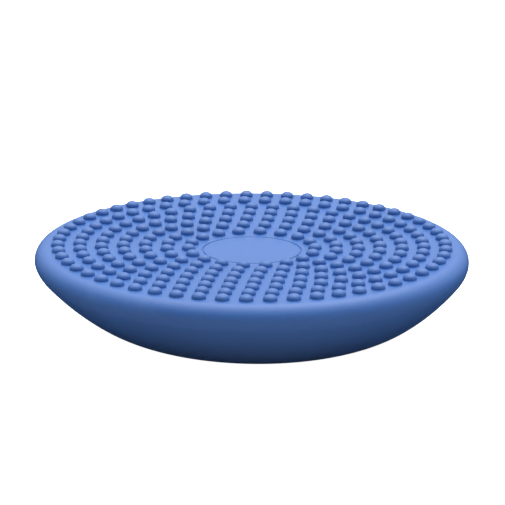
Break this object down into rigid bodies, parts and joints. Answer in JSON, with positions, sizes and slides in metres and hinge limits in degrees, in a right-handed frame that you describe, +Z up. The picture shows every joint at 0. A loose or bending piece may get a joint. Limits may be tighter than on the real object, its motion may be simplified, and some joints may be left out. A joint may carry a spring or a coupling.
{
  "type": "balance cushion",
  "caption": "Round air-filled balance cushion with a dished nubbed top, a smooth bowl-shaped underside to rock on, and a plugged needle valve in its flank.",
  "frame": {"origin": "middle of the foot that the cushion rests on, directly under the middle of the medallion", "axes": "+Z up out of the nubbed face, +Y from the middle towards the valve, +X to the right"},
  "size_m": [0.33, 0.33, 0.0745],
  "materials": {
    "skin": "satin soft PVC",
    "valve": "satin moulded plastic",
    "core": "dull soft rubber"
  },
  "bodies": {
    "cushion": {"top_skin": "skin", "grip_nubs": "skin", "bottom_skin": "skin", "valve_seat": "valve", "valve_core": "core"},
    "plug": {"valve_plug": "valve"}
  },
  "joints": [
    {"name": "plug_pull", "type": "slide", "parent": "cushion", "child": "plug", "axis": [0, 0.6756, -0.7373], "range_m": [0, 0.01]}
  ]
}
